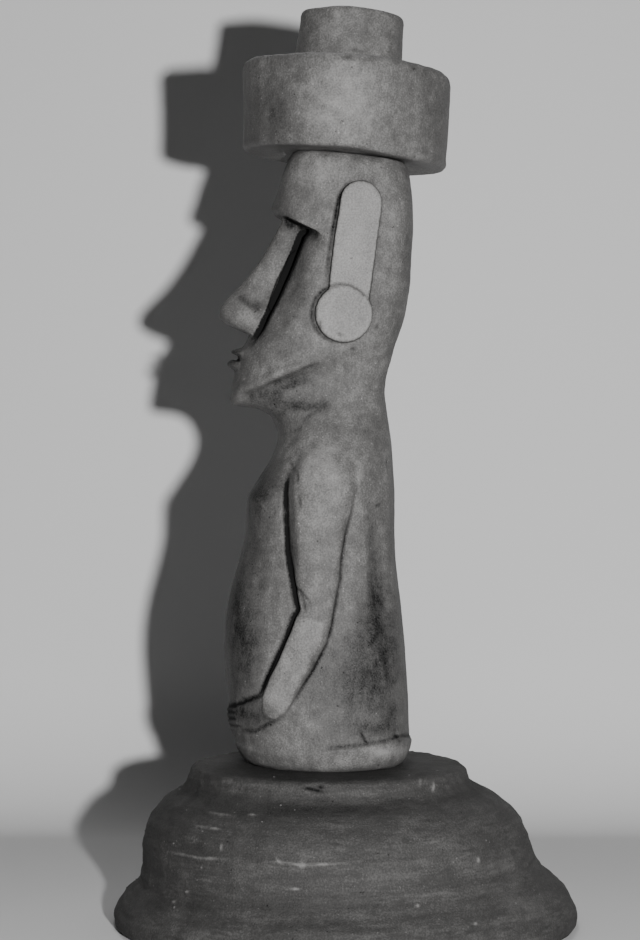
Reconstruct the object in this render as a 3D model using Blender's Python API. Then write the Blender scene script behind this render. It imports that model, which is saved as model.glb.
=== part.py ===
"""A clay statue of the moai type: a plinth, the figure that stands on it, and the topknot on its head.

Metres, +Z up. The figure faces -Y and its left side is +X. The origin is the middle of the plinth's
underside. The figure is laid out in hundredths of its own height: how far to its left, how far forward
of its own upright axis, and how far above its foot.
"""

import math

import bmesh
import bpy
import numpy as np
from mathutils import Vector
from mathutils.bvhtree import BVHTree

MM = 0.001

# The plinth: a round mound turned by hand, with a rolled foot, a bulging belly and a flat disc on top
PLINTH_HEIGHT = 70 * MM
DISC_RADIUS = 60.6 * MM
DISC_THICKNESS = 7.4 * MM
DISC_ROUNDING = 2.4 * MM
LEDGE_WIDTH = 4.0 * MM  # from the disc's foot out to where the belly starts
BELLY_WIDTH = 22 * MM  # how far the belly stands out beyond that
FOOT_SPREAD = 15.9 * MM  # how far the foot spreads beyond the belly
FOOT_HEIGHT = 27.8 * MM  # from the floor up to the belly
FOOT_ROLL = 9.4 * MM  # how high the rolled edge of the foot is
FOOT_ROUNDING = 2.4 * MM
MOUND_LEAN = 7.6 * MM  # how far forward of the foot's middle the disc's middle lies
FLARE_SLANT = 2.2 * MM  # how much higher the flare of the foot starts at the back
MOUND_SEGMENTS = 36

# The figure
FIGURE_HEIGHT = 268 * MM
FIGURE_FORWARD = 2.4 * MM  # its axis forward of the disc's middle
BODY_SEGMENTS = 34
RING_SPACING = 4.2  # hundredths, at most, between one ring of the body and the next

# The topknot: a drum with a smaller knob on it, made of the same clay
SEAT_TILT = math.radians(5.8)  # the crown falls away to the back, and the topknot with it
SEAT_FORWARD = 1.9 * MM  # the drum's middle forward of the crown's middle
SEAT_MARGIN = 2.5 * MM  # flat seat beyond the crown's edge
RIM_DROP = 1.4 * MM  # the underside is a little dished, so the drum's rim hangs below its seat
DRUM_RADIUS = 45 * MM
DRUM_FLARE = 0.9 * MM  # how much wider it is at the top
DRUM_HEIGHT = 38.5 * MM
DRUM_TOP_ROUNDING = 5.2 * MM
DRUM_FOOT_ROUNDING = 2.8 * MM
DRUM_LEAN = 2.8 * MM  # how far forward the drum's top has slipped
DRUM_TOP_TILT = math.radians(1.5)  # its top leans this much forward of its seat
KNOB_RADIUS = 23.8 * MM
KNOB_TAPER = 1.1 * MM
KNOB_HEIGHT = 23.6 * MM
KNOB_ROUNDING = 2.2 * MM
KNOB_CREASE = 1.0 * MM  # the pressed-in joint round the knob's foot
DRUM_SEGMENTS = 32

REST_GAP = 0.3 * MM  # between a piece and what it stands on

CLAY_GREY = (0.30, 0.29, 0.30, 1.0)
DARK_CLAY = (0.105, 0.10, 0.10, 1.0)
CLAY_ROUGHNESS = 0.88

# Cuts through body and head, foot to crown: a point on the front, a point on the back (each forward, up),
# the half width, where along the cut it is widest, and how square its front and back quarters are (2 is an
# ellipse, less is a wedge, more is a block)
BODY_CUTS = [
    ((11.6, 0.0), (-12.3, 0.0), 11.6, 0.50, 2.2, 2.5),
    ((13.2, 0.9), (-13.5, 0.9), 12.9, 0.50, 2.2, 2.5),
    ((14.1, 2.8), (-14.2, 2.8), 13.6, 0.50, 2.2, 2.5),
    ((15.4, 10.2), (-14.0, 10.2), 13.8, 0.50, 2.1, 2.4),
    ((16.2, 18.5), (-13.5, 18.5), 13.7, 0.50, 2.0, 2.4),
    ((15.8, 25.0), (-12.9, 25.0), 13.3, 0.50, 2.0, 2.4),
    ((14.2, 32.0), (-12.2, 32.0), 12.9, 0.50, 2.0, 2.4),
    ((12.7, 38.0), (-11.8, 38.0), 12.8, 0.49, 2.1, 2.4),
    ((12.3, 41.5), (-11.8, 41.5), 12.7, 0.49, 2.2, 2.4),
    ((12.2, 43.8), (-11.8, 43.6), 12.5, 0.49, 2.2, 2.4),
    ((10.3, 47.0), (-11.7, 46.8), 12.1, 0.49, 2.1, 2.3),
    ((8.5, 49.8), (-11.5, 49.8), 11.0, 0.50, 2.1, 2.3),
    ((7.3, 52.7), (-11.2, 53.2), 9.2, 0.50, 2.1, 2.3),
    ((7.5, 54.8), (-10.7, 56.6), 7.9, 0.50, 2.1, 2.3),
    ((8.6, 56.9), (-10.2, 60.4), 7.0, 0.50, 2.1, 2.3),
    ((10.7, 58.1), (-10.5, 63.2), 6.7, 0.49, 2.1, 2.3),
    ((14.9, 58.6), (-11.4, 66.4), 6.9, 0.46, 2.0, 2.3),
    ((15.3, 59.6), (-12.0, 68.6), 7.7, 0.43, 1.95, 2.4),
    ((15.1, 60.9), (-12.6, 70.3), 8.5, 0.40, 1.85, 2.4),
    ((14.5, 64.0), (-13.2, 72.2), 8.5, 0.38, 1.75, 2.5),
    ((13.7, 67.2), (-13.5, 73.2), 8.6, 0.35, 1.65, 2.6),
    ((12.0, 70.2), (-13.7, 74.2), 8.7, 0.32, 1.5, 2.6),
    ((8.6, 78.6), (-14.0, 76.0), 8.7, 0.28, 1.35, 2.7),
    ((4.2, 86.7), (-14.2, 77.3), 8.5, 0.23, 1.3, 2.8),
    ((4.3, 87.5), (-14.3, 77.9), 8.5, 0.24, 1.4, 2.8),
    ((8.1, 89.9), (-14.4, 78.3), 8.5, 0.38, 2.7, 2.7),
    ((8.45, 90.7), (-14.5, 81.0), 8.5, 0.42, 2.8, 2.6),
    ((7.6, 92.8), (-14.8, 86.4), 8.5, 0.44, 2.8, 2.6),
    ((6.6, 96.3), (-14.7, 92.4), 8.3, 0.46, 2.7, 2.6),
    ((5.5, 99.2), (-14.2, 96.8), 7.9, 0.48, 2.6, 2.6),
]
CROWN_INSET = 0.9  # how far the flat crown lies inside the last cut, and above it
CROWN_RISE = 0.9

# Where the flesh swells, or sinks where the amount is below zero: forward, up, reach forward, reach up,
# amount. The swells leave the outline alone, and reach their full amount this far from the middle.
BODY_SWELLS = [
    (10.6, 42.4, 2.6, 2.6, 0.6),
    (-8.6, 26.0, 2.4, 9.0, -0.5),
    (-8.6, 42.0, 2.0, 7.0, -0.3),
]
SWELL_CLEAR = 4.0

# The nose, cut the same way from brow to nostrils
NOSE_CUTS = [
    ((6.6, 89.4), (2.4, 87.6), 1.4, 0.70, 3.2, 6.0),
    ((7.7, 86.9), (3.0, 84.6), 1.5, 0.70, 3.2, 6.0),
    ((10.0, 82.9), (4.2, 80.6), 1.7, 0.70, 3.2, 6.0),
    ((13.2, 78.8), (5.8, 75.6), 2.0, 0.70, 3.0, 6.0),
    ((14.8, 77.1), (6.6, 73.7), 2.3, 0.70, 2.8, 6.0),
    ((15.7, 76.2), (7.0, 72.7), 3.1, 0.64, 2.5, 6.0),
    ((17.1, 74.3), (8.0, 71.0), 3.6, 0.60, 2.5, 6.0),
    ((17.0, 72.8), (8.8, 69.9), 3.5, 0.60, 2.5, 6.0),
    ((15.9, 71.8), (9.3, 69.1), 3.0, 0.60, 2.5, 6.0),
]
NOSE_SPACING = 2.4
NOSE_SEGMENTS = 20

# The lips, laid on the face with the mouth's slit between them: up, how far the corners droop, how far they
# reach to the side, how proud, how tall
UPPER_LIP = (67.35, 0.4, 2.9, 1.62, 0.70)
LOWER_LIP = (65.35, 0.0, 2.7, 1.62, 1.0)

# The ear: a long strip that leans back, with a round plug over its lobe
EAR_TOP = (-5.6, 90.9)
EAR_TOP_RADIUS = 3.5
EAR_FOOT = (-3.7, 75.6)
EAR_FOOT_RADIUS = 3.3
EAR_FACE = 9.75  # from the middle of the head to the ear's flat face
PLUG_CENTRE = (-3.0, 73.1)
PLUG_RADIUS = 4.6
PLUG_PROUD = 0.22
EAR_EDGE = 0.22
EAR_ROOT = 5.0  # where the ear starts, inside the head

# The arm, laid on the body from the shoulder to the wrist: front edge, back edge, how proud it stands
ARM_CUTS = [
    (1.8, 53.4, -1.8, 53.6, -0.4),
    (2.9, 52.2, -3.0, 52.6, 0.05),
    (4.4, 49.8, -4.8, 50.2, 0.55),
    (5.3, 47.4, -5.4, 47.7, 0.95),
    (5.7, 44.9, -5.4, 44.9, 1.25),
    (5.8, 41.0, -4.4, 41.0, 1.45),
    (5.5, 35.6, -3.6, 36.2, 1.5),
    (4.9, 30.7, -3.0, 31.2, 1.45),
    (4.2, 26.6, -2.1, 25.9, 1.4),
    (4.5, 25.2, -1.4, 22.9, 1.4),
    (5.9, 22.3, 0.3, 18.4, 1.4),
    (7.4, 19.1, 2.3, 14.9, 1.35),
    (8.8, 15.6, 4.3, 11.5, 1.3),
    (9.9, 12.8, 6.4, 8.4, 1.2),
    (11.3, 11.7, 8.8, 6.5, 0.85),
    (12.6, 11.0, 11.0, 5.9, 0.75),
    (13.8, 10.7, 13.1, 5.5, 0.7),
]
ARM_FREE = 3  # the row from which the arm's front edge is cut free
# The hand goes on across the belly: how far from the middle, upper edge, lower edge, how proud it stands
HAND_CUTS = [
    (4.2, 10.3, 5.0, 0.7),
    (2.6, 10.1, 4.8, 0.65),
    (1.4, 9.9, 4.8, 0.6),
    (0.8, 9.7, 5.0, 0.3),
]
FINGER_LINES = (8.9, 7.6, 6.3)
FINGER_TIP = 0.7
FINGER_ROOT = 5.6
FINGER_PROUD = 0.75
ARM_ROOT = 1.5  # how deep the arm is let into the body
ARM_ACROSS = (0.0, 0.11, 0.22, 0.45, 0.7, 0.88, 1.0)
ARM_RISE = (-0.15, 0.66, 0.97, 1.0, 0.95, 0.62, -0.12)
ARM_UNDER = (1.0, 0.55, 0.0)

# Tool cuts: width, and depth below the surface
ARM_CUT = (0.8, 0.85)
EAR_CUT = (0.34, 0.30)
NOSE_CUT = (0.62, 1.15)
FINGER_CUT = (0.36, 0.36)
NOSE_CUT_TOP = 87.0
NOSE_CUT_FOOT = 69.4
NOSE_CUT_WAY = (0.97, 0.24, 0.0)  # the side that the knife comes from
# How far out the slit lies, by the share of the way down
NOSE_CUT_LINE = [(0.0, 1.45), (0.45, 1.95), (0.6, 2.3), (0.72, 3.3), (1.0, 3.0)]
CUT_SIDES = 4
CUT_ENDS = 0.35  # how much of a cut's size is left at its ends
OUTSIDE = 60.0  # a place well clear of the figure, for looking at it from


def smooth_rows(table, places):
    """The table's rows read at fractional places, on a smooth curve that never overshoots a row."""
    table = np.array(table, float)
    slopes = np.diff(table, axis=0)
    before, after = slopes[:-1], slopes[1:]
    same_way = before * after > 0
    total = np.where(same_way, before + after, 1.0)
    tangents = np.zeros_like(table)
    tangents[1:-1] = np.where(same_way, 2 * before * after / total, 0.0)
    tangents[0], tangents[-1] = slopes[0], slopes[-1]
    places = np.asarray(places, float)
    low = np.clip(places.astype(int), 0, len(table) - 2)
    t = (places - low)[:, None]
    return (
        (2 * t**3 - 3 * t**2 + 1) * table[low]
        + (t**3 - 2 * t**2 + t) * tangents[low]
        + (3 * t**2 - 2 * t**3) * table[low + 1]
        + (t**3 - t**2) * tangents[low + 1]
    )


def evenly(line, count):
    """The line of points, read again at equal steps along it."""
    steps = np.linalg.norm(np.diff(line, axis=0), axis=1)
    along = np.concatenate([[0.0], np.cumsum(steps)])
    wanted = np.linspace(0.0, along[-1], count)
    return np.stack([np.interp(wanted, along, line[:, k]) for k in range(line.shape[1])], axis=1)


def half_cut(cut, count):
    """One side of a cut, front to back, as (left, forward, up) points at equal steps."""
    front_f, front_u, back_f, back_u, half_width, widest, front_power, back_power = cut
    turns = np.linspace(0.0, math.pi / 2, 40)
    front_in = widest * (1 - np.cos(turns) ** (2 / front_power))
    back_in = widest + (1 - widest) * np.cos(turns[::-1]) ** (2 / back_power)
    front = np.stack([front_in, np.sin(turns) ** (2 / front_power)], 1)
    back = np.stack([back_in, np.sin(turns[::-1]) ** (2 / back_power)], 1)
    depth = math.hypot(back_f - front_f, back_u - front_u)
    line = evenly(np.concatenate([front, back[1:]]) * [depth, half_width], count)
    share = line[:, 0] / depth
    forward = front_f + share * (back_f - front_f)
    up = front_u + share * (back_u - front_u)
    return np.stack([line[:, 1], forward, up], 1)


def swollen(points):
    """The points moved out from the body's axis by the swells."""
    away = points * [1.0, 1.0, 0.0]
    away /= np.maximum(np.linalg.norm(away, axis=1), 1e-6)[:, None]
    out = points.copy()
    for forward, up, reach_f, reach_u, amount in BODY_SWELLS:
        distance = ((points[:, 1] - forward) / reach_f) ** 2 + ((points[:, 2] - up) / reach_u) ** 2
        off_middle = np.clip(np.abs(points[:, 0]) / SWELL_CLEAR, 0.0, 1.0)
        out += away * (amount * off_middle * np.exp(-distance))[:, None]
    return out


def cut_rings(cuts, spacing, segments, shaped=lambda side: side):
    """Closed rings through a list of cuts, each an array of (left, forward, up) points."""
    table = np.array([(*front, *back, *shape) for front, back, *shape in cuts])
    places = [0.0]
    for k, (low, high) in enumerate(zip(table, table[1:])):
        rise = max(np.linalg.norm(high[0:2] - low[0:2]), np.linalg.norm(high[2:4] - low[2:4]))
        steps = max(1, math.ceil(rise / spacing))
        places += [k + (step + 1) / steps for step in range(steps)]
    sides = [shaped(half_cut(cut, segments // 2 + 1)) for cut in smooth_rows(table, places)]
    return [np.concatenate([side, side[-2:0:-1] * [-1, 1, 1]]) for side in sides]


def crown_height(forward):
    """Height of the flat crown, which falls away to the back."""
    front_f, front_u = BODY_CUTS[-1][0]
    return front_u + CROWN_RISE - (front_f - forward) * math.tan(SEAT_TILT)


def body_rings(spacing, segments):
    """The rings of body and head, with the flat crown inside the last of them."""
    rings = cut_rings(BODY_CUTS, spacing, segments, swollen)
    left, forward = rings[-1][:, 0], rings[-1][:, 1]
    middle = (forward.max() + forward.min()) / 2
    crown_left = left * (1 - CROWN_INSET / left.max())
    crown_forward = middle + (forward - middle) * (1 - CROWN_INSET / (forward.max() - middle))
    return rings + [np.stack([crown_left, crown_forward, crown_height(crown_forward)], 1)]


def in_space(points):
    """(left, forward, up) points in hundredths as metres, on the figure's own axes."""
    return np.asarray(points, float) * [1, -1, 1] * (FIGURE_HEIGHT / 100)


def skin(name, stacks):
    """A mesh of one or more closed skins, each over a stack of rings."""
    shape = bmesh.new()
    for rings in stacks:
        loops = [[shape.verts.new(tuple(point)) for point in ring] for ring in rings]
        count = len(loops[0])
        faces = [shape.faces.new(loops[0][::-1]), shape.faces.new(loops[-1])]
        for low, high in zip(loops, loops[1:]):
            for k in range(count):
                faces.append(shape.faces.new((low[k], low[(k + 1) % count], high[(k + 1) % count], high[k])))
        for face in faces:
            face.normal_update()
        middle = faces[0].calc_center_median()
        room = sum((face.calc_center_median() - middle).dot(face.normal) * face.calc_area() for face in faces)
        if room < 0:
            bmesh.ops.reverse_faces(shape, faces=faces)
    mesh = bpy.data.meshes.new(name)
    shape.to_mesh(mesh)
    shape.free()
    return mesh


def clay(name, colour):
    """A matt fired clay."""
    material = bpy.data.materials.new(name)
    material.use_nodes = True
    surface = material.node_tree.nodes["Principled BSDF"]
    surface.inputs["Base Color"].default_value = colour
    surface.inputs["Roughness"].default_value = CLAY_ROUGHNESS
    surface.inputs["Metallic"].default_value = 0.0
    return material


def add_object(name, mesh, parent=None):
    thing = bpy.data.objects.new(name, mesh)
    bpy.context.scene.collection.objects.link(thing)
    thing.parent = parent
    return thing


def add_piece(name, mesh, parent, material):
    """A piece of the statue, shaded smooth except over its sharp edges."""
    mesh.materials.append(material)
    mesh.shade_smooth()
    mesh.set_sharp_from_angle(angle=math.radians(35))
    return add_object(name, mesh, parent)


def both_sides(stacks):
    """The stacks, and the same on the figure's other side."""
    return stacks + [[ring * [-1, 1, 1] for ring in rings[::-1]] for rings in stacks]


class Ground:
    """The body's surface, for laying limbs and cuts on: places and normals in (left, forward, up)."""

    SPACING = 0.7
    SEGMENTS = 160

    def __init__(self):
        rings = body_rings(self.SPACING, self.SEGMENTS)
        count = self.SEGMENTS
        points = [Vector(point) for ring in rings for point in ring]
        faces = [
            (low + j, low + (j + 1) % count, low + count + (j + 1) % count, low + count + j)
            for low in range(0, (len(rings) - 1) * count, count)
            for j in range(count)
        ]
        self.tree = BVHTree.FromPolygons(points, faces)

    def look(self, start, way):
        place, normal, _, _ = self.tree.ray_cast(Vector(start), Vector(way))
        if normal.dot(Vector(way)) > 0:
            normal = -normal
        return np.array(place), np.array(normal)

    def flank(self, forward, up):
        """What shows of the body from its left."""
        return self.look((OUTSIDE, forward, up), (-1, 0, 0))

    def front(self, left, up):
        """What shows of the body from the front."""
        return self.look((left, OUTSIDE, up), (0, -1, 0))


def arm_stack(ground):
    """The left arm and hand, a slab laid on the body. Each ring goes over its face and back under it."""
    spans = []
    for front_f, front_u, back_f, back_u, proud in ARM_CUTS:
        edges = np.array([(front_f, front_u), (back_f, back_u)])
        spans.append((ground.flank, edges, proud))
    for left, upper, lower, proud in HAND_CUTS:
        edges = np.array([(left, upper), (left, lower)])
        spans.append((ground.front, edges, proud))
    rings = []
    for seen, (edge, other), proud in spans:
        ring = []
        for share, rise in zip(ARM_ACROSS, ARM_RISE):
            place, normal = seen(*(edge + (other - edge) * share))
            ring.append(place + normal * (proud * rise if rise > 0 else rise))
        for share in ARM_UNDER:
            place, normal = seen(*(edge + (other - edge) * share))
            ring.append(place - normal * ARM_ROOT)
        rings.append(np.array(ring))
    return rings


def round_end(centre, radius, start, count):
    """Half a circle of (forward, up) points about the centre."""
    turns = start + np.linspace(0.0, math.pi, count)
    return np.array(centre) + radius * np.stack([np.cos(turns), np.sin(turns)], 1)


def ear_outline(grown=0.0, count=11):
    """The round ends of the ear's strip, top and foot, as (forward, up) points."""
    lean = math.atan2(EAR_TOP[1] - EAR_FOOT[1], EAR_TOP[0] - EAR_FOOT[0])
    top = round_end(EAR_TOP, EAR_TOP_RADIUS + grown, lean - math.pi / 2, count)
    foot = round_end(EAR_FOOT, EAR_FOOT_RADIUS + grown, lean + math.pi / 2, count)
    return top, foot


def plug_outline(count=26):
    turns = np.linspace(0.0, 2 * math.pi, count, endpoint=False)
    return np.array(PLUG_CENTRE) + PLUG_RADIUS * np.stack([np.cos(turns), np.sin(turns)], 1)


def plate(outline, face):
    """A plate standing out of the head to the given distance, with its edge eased."""
    away = outline - outline.mean(axis=0)
    inner = outline - away * (EAR_EDGE / np.linalg.norm(away, axis=1))[:, None]
    levels = [(outline, EAR_ROOT), (outline, face - EAR_EDGE), (inner, face)]
    return [np.column_stack([np.full(len(line), left), line]) for line, left in levels]


def lip_stack(ground, lip, around=8, count=8):
    """A lip as rings across the mouth, smaller towards its corners."""
    up, droop, reach, proud, tall = lip
    turns = np.linspace(0, 2 * math.pi, around, endpoint=False)
    rings = []
    for tilt in np.linspace(-0.45, 0.45, count) * math.pi:
        size = math.cos(tilt)
        place, _ = ground.front(reach * math.sin(tilt), up - droop * math.sin(tilt) ** 2)
        out = proud * size * np.cos(turns)
        high = tall * size**0.6 * np.sin(turns)
        rings.append(place + np.stack([np.zeros(around), out, high], 1))
    return rings


def tool_cut(spots, size, even=False):
    """A tool's track along spots, each a place and a normal. Its ends are shallow unless it is even."""
    width, depth = size
    places = np.array([place for place, _ in spots])
    along = np.gradient(places, axis=0)
    turns = np.linspace(0, 2 * math.pi, CUT_SIDES, endpoint=False)
    rings = []
    for k, (place, normal) in enumerate(spots):
        swing = abs(math.sin(math.pi * k / (len(spots) - 1)))
        strength = 1.0 if even else CUT_ENDS + (1 - CUT_ENDS) * swing**0.4
        across = np.cross(along[k], normal)
        across /= np.linalg.norm(across)
        ring = np.outer(np.cos(turns) * width / 2, across) + np.outer(np.sin(turns) * depth, normal)
        rings.append(place + strength * ring)
    return rings


def arm_cut(ground):
    """The deep cut that frees the arm's front edge from the belly, down to the wrist and over the hand."""
    edge = [(cut[0] + ARM_CUT[0] * 0.3, cut[1]) for cut in ARM_CUTS[ARM_FREE:]]
    return tool_cut([ground.flank(*spot) for spot in edge], ARM_CUT)


def ear_cuts(ground):
    """The thin lines round the ear: one round the strip down to the plug, one round the rest of it."""
    top, _ = ear_outline(EAR_CUT[0] / 2)
    down = np.array(EAR_FOOT) - np.array(EAR_TOP)
    clear = PLUG_RADIUS + EAR_CUT[0] * 0.6
    middle = np.array(PLUG_CENTRE)

    def side(start):
        line = [start + down * share for share in np.linspace(0.12, 0.9, 6)]
        return [spot for spot in line if np.linalg.norm(spot - middle) > clear + EAR_CUT[0]]

    front_side, back_side = side(top[0]), side(top[-1])
    strip = front_side[::-1] + list(top) + back_side
    first = math.atan2(*(strip[-1] - middle)[::-1])
    last = math.atan2(*(strip[0] - middle)[::-1])
    margin = EAR_CUT[0] / PLUG_RADIUS * 2
    sweep = (last - first) % (2 * math.pi)
    turns = first + np.linspace(margin, sweep - margin, 20)
    plug = middle + clear * np.stack([np.cos(turns), np.sin(turns)], 1)
    return [tool_cut([ground.flank(*spot) for spot in line], EAR_CUT, even=True) for line in (strip, plug)]


def nose_cut(ground):
    """The slit, cut in from the side, where the side of the nose meets the cheek."""
    way = np.array(NOSE_CUT_WAY)
    spots = []
    for up in np.linspace(NOSE_CUT_TOP, NOSE_CUT_FOOT, 9):
        fall = (NOSE_CUT_TOP - up) / (NOSE_CUT_TOP - NOSE_CUT_FOOT)
        left = float(np.interp(fall, *zip(*NOSE_CUT_LINE)))
        spots.append((ground.front(left, up)[0], way))
    return tool_cut(spots, NOSE_CUT)


def finger_cuts(ground):
    tracks = []
    for up in FINGER_LINES:
        line = [ground.front(left, up) for left in np.linspace(FINGER_TIP, FINGER_ROOT, 6)]
        spots = [(place + normal * FINGER_PROUD, normal) for place, normal in line]
        tracks.append(tool_cut(spots, FINGER_CUT))
    return tracks


def make_figure(parent, material):
    """Body, head, arms and ears, carved as one."""
    ground = Ground()
    rings = body_rings(RING_SPACING, BODY_SEGMENTS)
    figure = add_piece("figure", skin("figure", [[in_space(ring) for ring in rings]]), parent, material)

    def work(operation, name, stacks):
        shape = skin(name, [[in_space(ring) for ring in rings] for rings in stacks])
        tool = add_object(name, shape, parent)
        tool.hide_render = True
        tool.display_type = "WIRE"
        step = figure.modifiers.new(name, "BOOLEAN")
        step.operation = operation
        step.object = tool
        step.solver = "EXACT"

    work("UNION", "nose", [cut_rings(NOSE_CUTS, NOSE_SPACING, NOSE_SEGMENTS)])
    work("UNION", "upper_lip", [lip_stack(ground, UPPER_LIP)])
    work("UNION", "lower_lip", [lip_stack(ground, LOWER_LIP)])
    work("UNION", "arms", both_sides([arm_stack(ground)]))
    work("DIFFERENCE", "arm_cuts", both_sides([arm_cut(ground)]))
    work("DIFFERENCE", "nose_cuts", both_sides([nose_cut(ground)]))
    for name, track in zip(("strip_cuts", "plug_cuts"), ear_cuts(ground)):
        work("DIFFERENCE", name, both_sides([track]))
    work("UNION", "ear_strips", both_sides([plate(np.concatenate(ear_outline()), EAR_FACE)]))
    work("UNION", "ear_plugs", both_sides([plate(plug_outline(), EAR_FACE + PLUG_PROUD)]))
    work("DIFFERENCE", "finger_cuts", both_sides(finger_cuts(ground)))
    return figure


def mound_profile():
    """The mound's outline, floor to disc: height, radius, share of the lean, share of the slant."""
    ledge = DISC_RADIUS + LEDGE_WIDTH
    belly = ledge + BELLY_WIDTH
    foot = belly + FOOT_SPREAD
    flare = FOOT_HEIGHT - FOOT_ROLL
    wall = PLINTH_HEIGHT - DISC_THICKNESS - FOOT_HEIGHT
    disc_foot = FOOT_HEIGHT + wall
    return [
        (0.0, foot - FOOT_ROUNDING, 0.0, 0.0),
        (FOOT_ROUNDING, foot - FOOT_ROUNDING * 0.1, 0.0, 0.0),
        (FOOT_ROLL * 0.64, foot, 0.02, 0.3),
        (FOOT_ROLL, foot - FOOT_SPREAD * 0.08, 0.05, 0.55),
        (FOOT_ROLL + flare * 0.29, foot - FOOT_SPREAD * 0.33, 0.15, 1.0),
        (FOOT_ROLL + flare * 0.62, foot - FOOT_SPREAD * 0.81, 0.2, 1.0),
        (FOOT_HEIGHT, belly, 0.38, 0.45),
        (FOOT_HEIGHT + wall * 0.26, ledge + BELLY_WIDTH * 0.94, 0.55, 0.2),
        (FOOT_HEIGHT + wall * 0.57, ledge + BELLY_WIDTH * 0.77, 0.7, 0.45),
        (FOOT_HEIGHT + wall * 0.77, ledge + BELLY_WIDTH * 0.43, 0.84, 0.4),
        (FOOT_HEIGHT + wall * 0.94, ledge, 0.88, 0.1),
        (disc_foot, DISC_RADIUS + LEDGE_WIDTH * 0.45, 0.98, 0.0),
        (PLINTH_HEIGHT - DISC_ROUNDING * 0.8, DISC_RADIUS, 1.0, 0.0),
        (PLINTH_HEIGHT, DISC_RADIUS - DISC_ROUNDING, 1.0, 0.0),
    ]


def make_plinth(parent, material):
    turns = np.linspace(0, 2 * math.pi, MOUND_SEGMENTS, endpoint=False)
    rings = []
    for up, radius, lean, slant in mound_profile():
        across = radius * np.cos(turns)
        back = radius * np.sin(turns) - MOUND_LEAN * lean
        rise = up + FLARE_SLANT * slant * np.sin(turns)
        rings.append(np.stack([across, back, rise], 1))
    return add_piece("plinth", skin("plinth", [rings]), parent, material)


def quarter_round(wall, end, size, way, count):
    """Radius and height round an edge, from wall to end face. way is 1 at the top and -1 at the foot."""
    turns = np.linspace(0, math.pi / 2, count)
    return [(wall - size * (1 - math.cos(a)), end - way * size * (1 - math.sin(a))) for a in turns]


def drum_profile(seat_radius):
    wide = DRUM_RADIUS + DRUM_FLARE
    foot = quarter_round(DRUM_RADIUS, -RIM_DROP, DRUM_FOOT_ROUNDING, -1, 4)[::-1]
    shoulder = quarter_round(wide, DRUM_HEIGHT, DRUM_TOP_ROUNDING, 1, 5)
    underside = [(seat_radius, 0.0), ((seat_radius + foot[0][0] * 2) / 3, -RIM_DROP)]
    return underside + foot + [((DRUM_RADIUS + wide) / 2, DRUM_HEIGHT / 2)] + shoulder


def knob_profile():
    top = DRUM_HEIGHT + KNOB_HEIGHT
    joint = [(KNOB_RADIUS - KNOB_CREASE, DRUM_HEIGHT), (KNOB_RADIUS, DRUM_HEIGHT + KNOB_CREASE)]
    return joint + quarter_round(KNOB_RADIUS - KNOB_TAPER, top, KNOB_ROUNDING, 1, 4)


def make_topknot(parent, material):
    """Drum and knob as one, seated on the crown."""
    crown = in_space(body_rings(RING_SPACING, BODY_SEGMENTS)[-1])
    middle = (crown.max(axis=0) + crown.min(axis=0)) / 2
    seat_radius = (crown[:, 1].max() - middle[1]) / math.cos(SEAT_TILT) + SEAT_FORWARD + SEAT_MARGIN
    turns = np.linspace(0, 2 * math.pi, DRUM_SEGMENTS, endpoint=False)
    rings = []
    for radius, up in drum_profile(seat_radius) + knob_profile():
        share = min(1.0, max(0.0, up / DRUM_HEIGHT))
        back = radius * np.sin(turns)
        rise = up + back * math.tan(DRUM_TOP_TILT) * share**2
        rings.append(np.stack([radius * np.cos(turns), back - DRUM_LEAN * share, rise], 1))
    topknot = add_piece("topknot", skin("topknot", [rings]), parent, material)
    down_slope = np.array([0.0, math.cos(SEAT_TILT), -math.sin(SEAT_TILT)])
    upright = np.array([0.0, math.sin(SEAT_TILT), math.cos(SEAT_TILT)])
    topknot.location = middle - down_slope * SEAT_FORWARD + upright * REST_GAP
    topknot.rotation_euler = (-SEAT_TILT, 0.0, 0.0)
    return topknot


def main():
    for thing in list(bpy.data.objects):
        bpy.data.objects.remove(thing)
    grey_clay = clay("grey clay", CLAY_GREY)
    dark_clay = clay("dark clay", DARK_CLAY)
    statue = add_object("statue", None)
    plinth = make_plinth(statue, dark_clay)
    axis = add_object("figure_axis", None, statue)
    axis.location = (0.0, -(MOUND_LEAN + FIGURE_FORWARD), PLINTH_HEIGHT + REST_GAP)
    make_figure(axis, grey_clay)
    make_topknot(axis, grey_clay)
    corners = np.array([vertex.co for vertex in plinth.data.vertices])
    middle = (corners.min(axis=0) + corners.max(axis=0)) / 2
    statue.location = (-middle[0], -middle[1], 0.0)


main()
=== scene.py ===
"""The statue's looks: hand-worked surfaces over its three solids, two matt clays, and a plain studio."""

import math

import bmesh
import bpy
import numpy as np
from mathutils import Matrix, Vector


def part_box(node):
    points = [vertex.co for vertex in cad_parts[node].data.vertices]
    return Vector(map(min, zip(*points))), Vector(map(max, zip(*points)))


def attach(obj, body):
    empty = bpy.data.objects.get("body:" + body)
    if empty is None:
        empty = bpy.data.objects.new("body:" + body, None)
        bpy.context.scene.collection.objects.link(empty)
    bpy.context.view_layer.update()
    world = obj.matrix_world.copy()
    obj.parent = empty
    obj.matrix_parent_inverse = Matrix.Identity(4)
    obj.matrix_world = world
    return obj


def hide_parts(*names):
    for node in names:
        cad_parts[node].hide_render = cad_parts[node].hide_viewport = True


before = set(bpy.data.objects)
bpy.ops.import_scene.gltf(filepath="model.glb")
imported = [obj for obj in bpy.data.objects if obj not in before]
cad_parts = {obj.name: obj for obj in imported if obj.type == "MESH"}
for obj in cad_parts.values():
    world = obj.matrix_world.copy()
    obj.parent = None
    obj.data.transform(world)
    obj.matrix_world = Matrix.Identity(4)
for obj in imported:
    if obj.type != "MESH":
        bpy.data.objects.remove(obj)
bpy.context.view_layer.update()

MM = 0.001  # every length is in metres

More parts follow.
